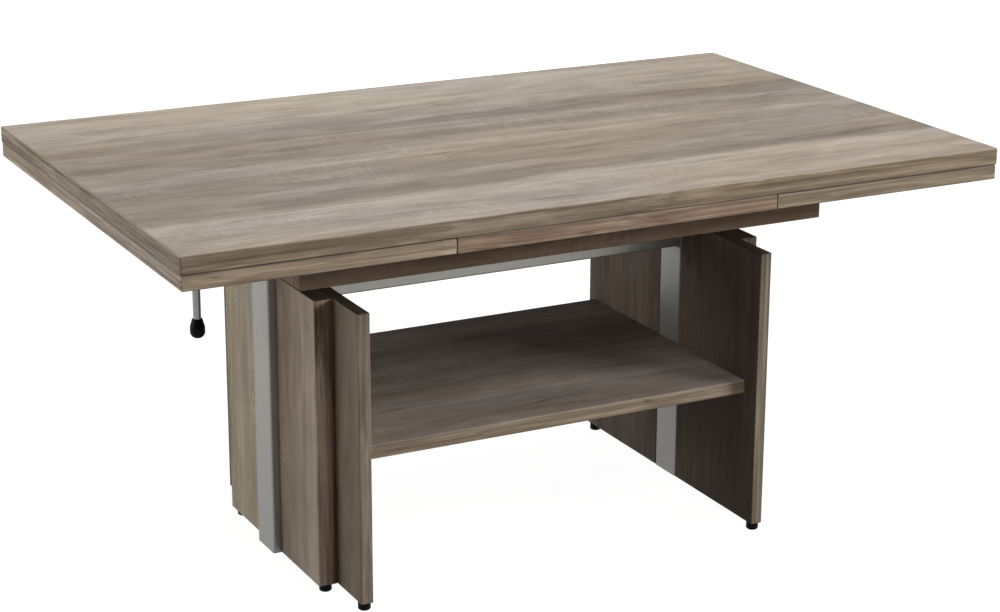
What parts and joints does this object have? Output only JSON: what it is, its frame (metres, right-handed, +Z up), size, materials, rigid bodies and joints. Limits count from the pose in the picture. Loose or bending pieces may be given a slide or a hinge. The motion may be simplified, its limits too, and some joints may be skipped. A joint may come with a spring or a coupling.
{
  "type": "height-adjustable extending table",
  "caption": "Low oak-decor table on two stepped panel legs, whose top rises on gas-spring columns and extends with a pull-out leaf at each end.",
  "frame": {"origin": "on the floor under the middle of the table top", "axes": "+X along the long side to the right, +Y from the front to the rear, +Z up"},
  "size_m": [1.1, 0.68, 0.52],
  "materials": {
    "oak_decor": "satin grey-brown oak decor",
    "beech": "clear lacquered beech",
    "silver_steel": "silver-grey powder coat",
    "bright_steel": "bright drawn steel",
    "black_steel": "black paint",
    "black_plastic": "moulded black",
    "black_rubber": "matt"
  },
  "bodies": {
    "base": {"left_column": "silver_steel", "right_column": "silver_steel", "cross_rail": "silver_steel", "shelf": "oak_decor", "shelf_dowels": "beech", "foot_glides": "black_plastic", "base_plates": "silver_steel", "rest_buffers": "black_rubber", "column_bushes": "black_plastic", "shaft_bearings": "black_plastic", "left_gas_cylinder": "black_steel", "right_gas_cylinder": "black_steel", "left_front_inner_panel": "oak_decor", "left_front_outer_panel": "oak_decor", "left_rear_inner_panel": "oak_decor", "left_rear_outer_panel": "oak_decor", "right_front_inner_panel": "oak_decor", "right_front_outer_panel": "oak_decor", "right_rear_inner_panel": "oak_decor", "right_rear_outer_panel": "oak_decor"},
    "sync": {"sync_shaft": "bright_steel", "left_pinion": "bright_steel", "right_pinion": "bright_steel"},
    "lift": {"table_top": "oak_decor", "centre_board": "oak_decor", "apron_front": "oak_decor", "apron_rear": "oak_decor", "apron_left": "oak_decor", "apron_right": "oak_decor", "corner_blocks": "beech", "loper_guides": "black_plastic", "left_inner_tube": "bright_steel", "right_inner_tube": "bright_steel", "lower_glides": "black_plastic", "head_plates": "silver_steel", "left_bearer": "silver_steel", "right_bearer": "silver_steel", "bearer_brackets": "silver_steel", "head_bolts": "bright_steel", "frame_nuts": "bright_steel", "left_gas_rod": "bright_steel", "right_gas_rod": "bright_steel", "left_rack": "bright_steel", "right_rack": "bright_steel", "lever_bush": "black_plastic"},
    "left_leaf_unit": {"left_leaf": "oak_decor", "left_front_loper": "beech", "left_rear_loper": "beech", "left_loper_stops": "silver_steel"},
    "right_leaf_unit": {"right_leaf": "oak_decor", "right_front_loper": "beech", "right_rear_loper": "beech", "right_loper_stops": "silver_steel"},
    "lever": {"release_lever": "bright_steel", "lever_knob": "black_plastic", "release_arm": "bright_steel", "lever_collar": "bright_steel"},
    "pin": {"release_pin": "bright_steel"}
  },
  "joints": [
    {"name": "lift", "type": "slide", "parent": "base", "child": "lift", "axis": [0, 0, 1], "range_m": [0, 0.2]},
    {"name": "sync_turn", "type": "hinge", "parent": "base", "child": "sync", "pos_m": [0, 0, 0.364], "axis": [1, 0, 0], "range_deg": [0, 1275]},
    {"name": "left_leaf_slide", "type": "slide", "parent": "lift", "child": "left_leaf_unit", "axis": [-1, 0, 0], "range_m": [0, 0.32]},
    {"name": "right_leaf_slide", "type": "slide", "parent": "lift", "child": "right_leaf_unit", "axis": [1, 0, 0], "range_m": [0, 0.32]},
    {"name": "lever_turn", "type": "hinge", "parent": "lift", "child": "lever", "pos_m": [-0.308, -0.008, 0.441], "axis": [-1, 0, 0], "range_deg": [0, 20], "stiffness_Nm_per_rad": 0.6},
    {"name": "pin_press", "type": "slide", "parent": "lift", "child": "pin", "axis": [0, 0, -1], "range_m": [0, 0.003]}
  ],
  "couplings": [
    {"joint": "sync_turn", "follows": "lift", "rad_per_m": 111.11},
    {"joint": "pin_press", "follows": "lever_turn", "m_per_rad": 0.008}
  ]
}
